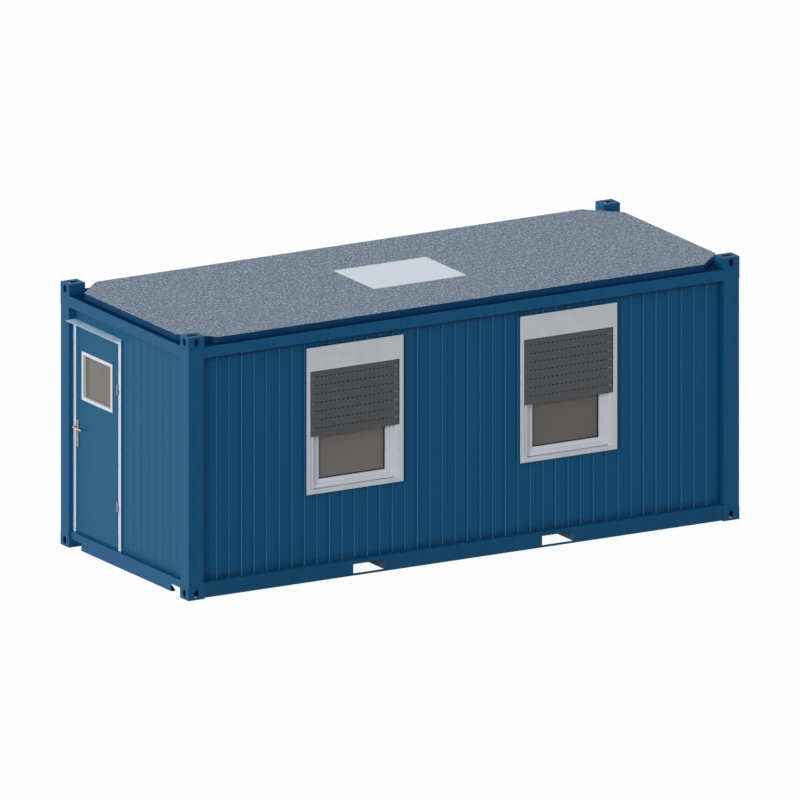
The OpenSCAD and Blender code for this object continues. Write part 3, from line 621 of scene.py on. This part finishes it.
def mitred_ring(low, high, profile, plane):
    """A closed frame strip with mitred corners: each profile point (inset, depth) is carried
    round the rectangle from low to high, its inset measured inwards from the rectangle and
    its depth along the axis that the rectangle faces: Y for plane XZ, X for plane YZ."""
    inset, depth = np.array(profile, float).T
    corners = [(0, 0), (1, 0), (1, 1), (0, 1)]
    rings = []
    for right, top in corners:
        across = np.where(right, high[0] - inset, low[0] + inset)
        up = np.where(top, high[1] - inset, low[1] + inset)
        columns = (across, depth, up) if plane == "XZ" else (depth, across, up)
        rings.append(np.column_stack(columns))
    points = np.concatenate(rings)
    n = len(inset)
    i, j = np.meshgrid(np.arange(4), np.arange(n), indexing="ij")
    nxt, k = (i + 1) % 4, (j + 1) % n
    quads = np.stack([i * n + j, i * n + k, nxt * n + k, nxt * n + j], -1).reshape(-1, 4)
    return points, quads.tolist()


door_powder = powder_coat("pale_powder_coat", "#cfd5de", "#c4cad3")
rubber = black_rubber()
softened("door_frame", 0.002, door_powder)
softened("door_canopy", 0.0015, powder_coat("pale_blue_canopy_powder", "#bfd6ea", "#b2cae0"))
softened("door_threshold", 0.0015, dark_enamel)

leaf_low, leaf_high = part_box("door_leaf")
closing_gap, hinge_gap, stop_gap, sill_gap = 0.0075, 0.0055, 0.0055, 0.003
stop_x = leaf_high.x + stop_gap
SEAL = [(-0.0005, stop_x), (0.0125, stop_x), (0.0125, stop_x - 0.002),
        (0.009, stop_x - 0.0050), (0.004, stop_x - 0.0050), (-0.0005, stop_x - 0.002)]
# A flashing starts behind the frame's front edge, is bedded into the frame's side and stands
# proud of it.
FLASHING_START, FLASHING_BED, FLASHING_PROUD = 0.004, 0.0002, 0.001
frame_low, frame_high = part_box("door_frame")
wall_face_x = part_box("door_wall_side")[0].x
strip_x, strip_y = frame_low.x + FLASHING_START, frame_low.y - FLASHING_PROUD
strip = np.array([(strip_x, strip_y), (wall_face_x, strip_y),
                  (wall_face_x, frame_low.y + FLASHING_BED),
                  (strip_x, frame_low.y + FLASHING_BED)])
strip_foot = frame_low.z + 0.001
strip_ends = [np.column_stack([strip, np.full(4, z)]) for z in (strip_foot, frame_high.z)]
finish_mesh("door_frame_flashing",
            joined_mesh("door_frame_flashing", [(np.concatenate(strip_ends), tube_faces(2, 4))]),
            frame_enamel, "cabin")
seal = mitred_ring((leaf_low.y - hinge_gap, leaf_low.z - sill_gap),
                   (leaf_high.y + closing_gap, leaf_high.z + hinge_gap), SEAL, "YZ")
finish_mesh("door_seal", joined_mesh("door_seal", [seal]), rubber, "cabin", 50)


# ---------------------------------------------------------------- door leaf
# A flat steel-faced leaf on two lift-off hinges, with a double-glazed light in a white PVC
# trim, a warm-toned satin nickel lever set on long plates, and a round-ended lock cylinder.


def white_pvc(name, colour="#d6d9de", shaded="#c9ccd2"):
    """Rigid PVC: softly glossy off-white with a barely visible extrusion grain."""
    material, tree, out = new_material(name)
    grain = add_node(tree, "ShaderNodeTexNoise", {"Scale": 90, "Detail": 3},
                     {"Vector": object_place(tree)})
    tone = add_node(tree, "ShaderNodeMix",
                    {"data_type": "RGBA", 6: srgb(colour), 7: srgb(shaded)},
                    {0: grain.outputs["Fac"]})
    rough = add_node(tree, "ShaderNodeMapRange", {"To Min": 0.28, "To Max": 0.42},
                     {"Value": grain.outputs["Fac"]})
    plastic = add_node(tree, "ShaderNodeBsdfPrincipled", {"IOR": 1.53},
                       {"Base Color": tone.outputs[2], "Roughness": rough.outputs["Result"]})
    tree.links.new(plastic.outputs[0], out.inputs["Surface"])
    return material


def tinted_glass(name, colour, cover):
    """Sun-protection glass in front of a dim room: a warm grey body, partly the glass's own tint
    and partly painted shade of the dim room, that hides most of what is behind it, with a light
    film of dust and a clear gloss."""
    material, tree, out = new_material(name)
    film = add_node(tree, "ShaderNodeTexNoise", {"Scale": 3, "Detail": 3},
                    {"Vector": object_place(tree)})
    tone = add_node(tree, "ShaderNodeMix",
                    {"data_type": "RGBA", 6: srgb(colour), 7: srgb("#6f6a63")},
                    {0: film.outputs["Fac"]})
    rough = add_node(tree, "ShaderNodeMapRange", {"To Min": 0.04, "To Max": 0.14},
                     {"Value": film.outputs["Fac"]})
    glass = add_node(tree, "ShaderNodeBsdfPrincipled", {"IOR": 1.5, "Alpha": cover},
                     {"Base Color": tone.outputs[2], "Roughness": rough.outputs["Result"]})
    tree.links.new(glass.outputs[0], out.inputs["Surface"])
    return material


def satin_metal(name, colour, light_colour, stretch, roughness=0.34):
    """Brushed metal: hairlines a fraction of a millimetre wide along the piece, drawn three
    times too coarse so that they show."""
    material, tree, out = new_material(name)
    hair = add_node(tree, "ShaderNodeTexNoise", {"Scale": 700, "Detail": 3},
                    {"Vector": object_place(tree, stretch)})
    tone = add_node(tree, "ShaderNodeMix",
                    {"data_type": "RGBA", 6: srgb(colour), 7: srgb(light_colour)},
                    {0: hair.outputs["Fac"]})
    rough = add_node(tree, "ShaderNodeMapRange",
                     {"To Min": roughness - 0.06, "To Max": roughness + 0.08},
                     {"Value": hair.outputs["Fac"]})
    bump = add_node(tree, "ShaderNodeBump", {"Strength": 0.1, "Distance": 0.0003},
                    {"Height": hair.outputs["Fac"]})
    metal = add_node(tree, "ShaderNodeBsdfPrincipled", {"Metallic": 1.0},
                     {"Base Color": tone.outputs[2], "Roughness": rough.outputs["Result"],
                      "Normal": bump.outputs["Normal"]})
    tree.links.new(metal.outputs[0], out.inputs["Surface"])
    return material


# The leaf has the end walls' lighter, tealer blue: its blue paint with a painted sheen for the
# light on the end face.
leaf_sheet = coach_enamel("blue_leaf_sheet", "#0a5375", "#5f8299", 0.46)
softened("door_leaf", 0.0015, leaf_sheet, "door")
trim_pvc = white_pvc("white_pvc_trim")
softened("door_light_trim", 0.0015, trim_pvc, "door")
dressed("door_glass", tinted_glass("warm_grey_glass", "#76736c", 0.84))
nickel = satin_metal("satin_nickel_plate", "#978e82", "#b3aa9d", (1, 1, 0.05))
softened("door_handle_plates", 0.002, nickel, "door")


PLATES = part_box("door_handle_plates")
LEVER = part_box("door_lever")
SPINDLE_Y = LEVER[1].y - 0.010
SPINDLE_Z = (LEVER[0].z + LEVER[1].z) / 2
NECK_RADIUS = 0.0085
GRIP_DEEP, GRIP_TALL = 0.0058, 0.0098


def bent_lever(outward):
    """One lever: an elliptical section carried along a path that leaves the plate squarely,
    turns through a quarter circle of 16 mm radius and runs level to the hinge side. The
    section flattens from a 17 mm round neck to a grip 20 mm high and 12 mm deep."""
    face = 0 if outward < 0 else 1
    plate_x = PLATES[face].x
    grip_x = LEVER[face].x - outward * 0.006
    bend = 0.016
    grip_end = LEVER[0].y + 0.002
    turn = np.linspace(0, math.pi / 2, 9)
    neck = np.linspace(plate_x + outward * 0.0005, grip_x - outward * bend, 5)[:-1]
    grip = np.linspace(SPINDLE_Y - bend, grip_end, 14)[1:]
    x = np.concatenate([neck, grip_x - outward * bend * (1 - np.sin(turn)),
                        np.full(len(grip), grip_x)])
    y = np.concatenate([np.full(len(neck), SPINDLE_Y), SPINDLE_Y - bend * (1 - np.cos(turn)),
                        grip])
    heading = np.concatenate([np.zeros(len(neck)), turn, np.full(len(grip), math.pi / 2)])
    flat = np.clip(heading / (math.pi / 2), 0, 1)
    deep = NECK_RADIUS + (GRIP_DEEP - NECK_RADIUS) * flat
    tall = NECK_RADIUS + (GRIP_TALL - NECK_RADIUS) * flat
    rounding = np.ones(len(x))
    rounding[-3:] = (0.97, 0.85, 0.45)
    sides = 24
    around = np.linspace(0, 2 * math.pi, sides, endpoint=False)
    wide = np.cos(around)[None] * (deep * rounding)[:, None]
    upright = np.sin(around)[None] * (tall * rounding)[:, None]
    points = np.stack([x[:, None] + outward * np.sin(heading)[:, None] * wide,
                       y[:, None] + np.cos(heading)[:, None] * wide,
                       SPINDLE_Z + upright], -1)
    return points.reshape(-1, 3), tube_faces(len(x), sides)


def spindle_bar():
    """The square spindle's round stand-in through the leaf, 8 mm across."""
    ends = [(x, SPINDLE_Y, SPINDLE_Z) for x in (PLATES[0].x - 0.002, PLATES[1].x + 0.002)]
    return tube_along(ends, 0.004, pitch=0.04)


lever_mesh = joined_mesh("door_lever_set", [bent_lever(-1), bent_lever(1), spindle_bar()])
lever_metal = satin_metal("satin_nickel_lever", "#bcb2a4", "#d8d0c3", (1, 0.05, 1), 0.28)
lever = finish_mesh("door_lever_set", lever_mesh, lever_metal, "lever", 50)
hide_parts("door_lever")


def turned_button(centre, axis, profile, sides=14):
    """A turned piece: the profile's (distance along the axis, radius) points spun about the
    axis, closed by a fan at both ends."""
    along = np.array(axis, float)
    side = np.cross(along, (0.2, 0.3, 0.9))
    side /= np.linalg.norm(side)
    other = np.cross(along, side)
    s, r = np.array(profile, float).T
    turn = np.linspace(0, 2 * math.pi, sides, endpoint=False)
    circle = np.cos(turn)[:, None] * side + np.sin(turn)[:, None] * other
    points = np.array(centre) + s[:, None, None] * along + r[:, None, None] * circle[None]
    return points.reshape(-1, 3), tube_faces(len(s), sides)


# Collars round the lever's necks, the lock cylinder below them and the plates' screws.
NECK_COLLAR = [(0, 0.0135), (0.0015, 0.0135), (0.003, 0.0120), (0.003, 0.0098),
               (0.0002, 0.0098)]
SCREW_HEAD = [(0, 0.0042), (0.0009, 0.0040), (0.0016, 0.0030), (0.0016, 0.0016),
              (0.0008, 0.0012)]
CYLINDER_DROP = 0.124
BARREL_RADIUS = 0.0085
WEB_RADIUS, WEB_DROP = 0.005, 0.0165
KEY_SLOT_RISE = 0.001
SCREW_INSET = 0.014


def lock_cylinder(x, outward, y, z):
    """The end of a profile cylinder: a 17 mm barrel with a 10 mm web hanging 16 mm below its
    middle, standing 3 mm out of the plate."""
    turn = np.linspace(math.radians(-54), math.radians(234), 21)
    barrel = np.column_stack([BARREL_RADIUS * np.cos(turn), BARREL_RADIUS * np.sin(turn)])
    foot = np.linspace(math.radians(180), math.radians(360), 9)
    web = np.column_stack([WEB_RADIUS * np.cos(foot), -WEB_DROP + WEB_RADIUS * np.sin(foot)])
    outline = np.concatenate([barrel, web])
    layers = [(0.0, 1.0), (0.0026, 1.0), (0.0030, 0.95), (0.0030, 0.5)]
    points = np.concatenate([np.column_stack([np.full(len(outline), x + outward * out_by),
                                              y + outline[:, 0] * size,
                                              z + outline[:, 1] * size])
                             for out_by, size in layers])
    return points, tube_faces(len(layers), len(outline))


def key_slot(x, outward, y, z):
    """The key's slot as painted shade: a dark upright bar 9 mm high and 2 mm wide, 0.2 mm proud
    of the barrel's end, stands where the shaded keyway would be."""
    corners = np.array([(-1, -1), (1, -1), (1, 1), (-1, 1)]) * (0.001, 0.0045)
    near = np.column_stack([np.full(4, x + outward * 0.0026), y + corners[:, 0],
                            z + corners[:, 1]])
    far = near + (outward * 0.0006, 0, 0)
    return np.concatenate([near, far]), tube_faces(2, 4)


plate_low, plate_high = PLATES
plate_y = (plate_low.y + plate_high.y) / 2
cylinder_z = SPINDLE_Z - CYLINDER_DROP
collars, cylinders, slots, plate_screws = [], [], [], []
for face_x, outward in ((plate_low.x, -1), (plate_high.x, 1)):
    axis = (outward, 0, 0)
    collars.append(turned_button((face_x, plate_y, SPINDLE_Z), axis, NECK_COLLAR, 28))
    cylinders.append(lock_cylinder(face_x, outward, plate_y, cylinder_z))
    slots.append(key_slot(face_x, outward, plate_y, cylinder_z + KEY_SLOT_RISE))
    for z in (plate_low.z + SCREW_INSET, plate_high.z - SCREW_INSET):
        plate_screws.append(turned_button((face_x, plate_y, z), axis, SCREW_HEAD))
# The key slots are dark bars of painted shade standing for the keyways.
for name, parts, metal in (("door_neck_collars", collars, lever_metal),
                           ("door_lock_cylinders", cylinders, lever_metal),
                           ("door_keyway_shade_bars", slots, rubber),
                           ("door_plate_screws", plate_screws, lever_metal)):
    finish_mesh(name, joined_mesh(name, parts), metal, "door", 40)

zinc_plate = satin_metal("zinc_plated_steel", "#85878d", "#9fa1a8", (1, 1, 0.1), 0.45)
for node in ("door_hinges_frame", "door_hinges_leaf"):
    dressed(node, zinc_plate)


# ---------------------------------------------------------------- windows
# White PVC windows behind roller shutters: a powder-coated cover with its shutter box, a
# curtain of grey hollow slats let down part of the way, guide rails, frame, sash and glass.

SLAT_PITCH = 0.084
FIRST_JOINT = 0.0645
HOLE_SPACING = 0.048
HOLE_WIDTH = 0.018
HOLE_BAND = 0.009
MOST_JOINTS = 8
FACE_START = 0.0006
CROWN_DEPTH = 0.0010
NOTCH_DEPTH = 0.0016
NOTCH_WIDTH = 0.004


def shutter_plastic():
    """Extruded slats in graphite grey: matt, a little lighter along each crown where dust
    lies."""
    material, tree, out = new_material("graphite_shutter_slats")
    dust = add_node(tree, "ShaderNodeTexNoise", {"Scale": 40, "Detail": 5},
                    {"Vector": object_place(tree, (0.5, 1, 3))})
    tone = add_node(tree, "ShaderNodeMix",
                    {"data_type": "RGBA", 6: srgb("#4b4b4c"), 7: srgb("#595a5b")},
                    {0: dust.outputs["Fac"]})
    slats = add_node(tree, "ShaderNodeBsdfPrincipled",
                     {"Roughness": 0.6, "Specular IOR Level": 0.3},
                     {"Base Color": tone.outputs[2]})
    tree.links.new(slats.outputs[0], out.inputs["Surface"])
    return material


def slatted_curtain(low, high):
    """The curtain's face as a grid over width and height. Its depth follows two crowns on each
    slat, 42 mm apiece, with a notch at each joint; the cells of the grid that lie on a light
    slot in a joint are left open."""
    margin = 0.030
    middles = np.arange(low.x + margin, high.x - margin + 0.001, HOLE_SPACING)
    middles += (low.x + high.x - middles[0] - middles[-1]) / 2
    edges = np.sort(np.concatenate([middles - HOLE_WIDTH / 2, middles + HOLE_WIDTH / 2]))
    x = np.concatenate([[low.x], edges, [high.x]])
    joints = high.z - FIRST_JOINT - SLAT_PITCH * np.arange(MOST_JOINTS)
    joints = joints[joints > low.z + 0.02]
    crown_steps = np.array([0.06, 0.15, 0.3, 0.5, 0.7, 0.85, 0.94, 1.0]) * SLAT_PITCH / 2
    rows = [high.z, low.z]
    for z in np.concatenate([[joints[0] + SLAT_PITCH], joints]):
        rows += [z + HOLE_BAND / 2, z - HOLE_BAND / 2]
        rows += list(z - crown_steps) + list(z - SLAT_PITCH / 2 - crown_steps[:-1])
    z = np.unique(np.round([r for r in rows if low.z <= r <= high.z], 5))[::-1]
    phase = np.mod(high.z - FIRST_JOINT - z, SLAT_PITCH)
    crown = np.abs(np.sin(2 * math.pi * phase / SLAT_PITCH)) ** 0.5
    from_joint = np.minimum(phase, SLAT_PITCH - phase)
    notch = np.exp(-(from_joint / NOTCH_WIDTH) ** 2)
    depth = low.y + FACE_START + CROWN_DEPTH * (1 - crown) + NOTCH_DEPTH * notch
    grid_x, grid_z = np.meshgrid(x, z)
    points = np.stack([grid_x, np.broadcast_to(depth[:, None], grid_x.shape), grid_z], -1)
    rows_n, columns_n = grid_x.shape
    i, j = np.meshgrid(np.arange(rows_n - 1), np.arange(columns_n - 1), indexing="ij")
    row_middle = (z[:-1] + z[1:]) / 2
    in_band = np.abs(row_middle[:, None] - joints[None]).min(1) < HOLE_BAND / 2
    solid = ~(in_band[:, None] & (np.arange(columns_n - 1) % 2 == 1)[None])
    a = i * columns_n + j
    quads = np.stack([a, a + columns_n, a + columns_n + 1, a + 1], -1)[solid]
    mesh = bpy.data.meshes.new("slatted_curtain")
    mesh.from_pydata(points.reshape(-1, 3).tolist(), [], quads.tolist())
    return mesh


slat_plastic = shutter_plastic()
cover_powder = powder_coat("window_cover_powder", "#d0d1d1", "#c8c9ca")
frame_pvc = white_pvc("white_pvc_window", "#d9dbdf", "#ced0d5")
# The right window's grey is darker than the left's: the difference is painted shade of the darker
# view through it.
GLASS_TINTS_AND_SHADE = {"left": "#79706a", "right": "#5f5953"}
CURTAIN_WALL = 0.0035
BAR_GAP = 0.0004
GLASS_BED = 0.0058
# Each point: how far inwards from the edge of the glass's sight, and how far before the glass.
GASKET = [(-0.001, 0.0001), (-0.001, 0.014), (0.0015, 0.014), (0.0030, 0.010),
          (0.0070, 0.004), (0.0070, 0.0001)]

for side in ("left", "right"):
    for part, radius, material in (("cover", 0.002, cover_powder), ("guides", 0.0015, frame_pvc),
                                   ("frame", 0.002, frame_pvc), ("sash", 0.003, frame_pvc)):
        softened(f"{side}_window_{part}", radius, material)
    dressed(f"{side}_window_glass",
            tinted_glass(f"warm_grey_{side}_window_glass", GLASS_TINTS_AND_SHADE[side], 0.82))

    curtain_low, curtain_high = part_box(f"{side}_window_shutter")
    curtain = finish_mesh(f"{side}_window_curtain", slatted_curtain(curtain_low, curtain_high),
                          slat_plastic, "cabin", 40)
    wall = curtain.modifiers.new("slat_wall", "SOLIDIFY")
    wall.thickness = CURTAIN_WALL
    wall.offset = -1
    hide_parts(f"{side}_window_shutter")

    bar_front, bar_back = curtain_low.y + BAR_GAP, curtain_high.y - BAR_GAP
    bar = [(bar_front, 0), (bar_front, 0.020), (curtain_low.y + 0.003, 0.023),
           (bar_back, 0.023), (bar_back, 0)]
    bar_y, bar_z = np.array(bar).T
    ends = [np.column_stack([np.full(len(bar), x), bar_y, curtain_low.z + bar_z])
            for x in (curtain_low.x, curtain_high.x)]
    bar_mesh = joined_mesh(f"{side}_window_end_bar",
                           [(np.concatenate(ends), tube_faces(2, len(bar)))])
    finish_mesh(f"{side}_window_end_bar", bar_mesh, slat_plastic, "cabin")

    glass_low, glass_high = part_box(f"{side}_window_glass")
    gasket = [(inset, glass_low.y - before) for inset, before in GASKET]
    ring = mitred_ring((glass_low.x + GLASS_BED, glass_low.z + GLASS_BED),
                       (glass_high.x - GLASS_BED, glass_high.z - GLASS_BED), gasket, "XZ")
    finish_mesh(f"{side}_window_gasket", joined_mesh(f"{side}_window_gasket", [ring]), rubber,
                "cabin", 40)

    cover_low, cover_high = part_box(f"{side}_window_cover")
    wall_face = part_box("window_wall_panels")[0].y
    strip_front = cover_low.y + FLASHING_START
    flashing = [(FLASHING_BED, strip_front), (-FLASHING_PROUD, strip_front),
                (-FLASHING_PROUD, wall_face), (FLASHING_BED, wall_face)]
    ring = mitred_ring((cover_low.x, cover_low.z), (cover_high.x, cover_high.z), flashing, "XZ")
    finish_mesh(f"{side}_window_flashing", joined_mesh(f"{side}_window_flashing", [ring]),
                frame_enamel, "cabin")
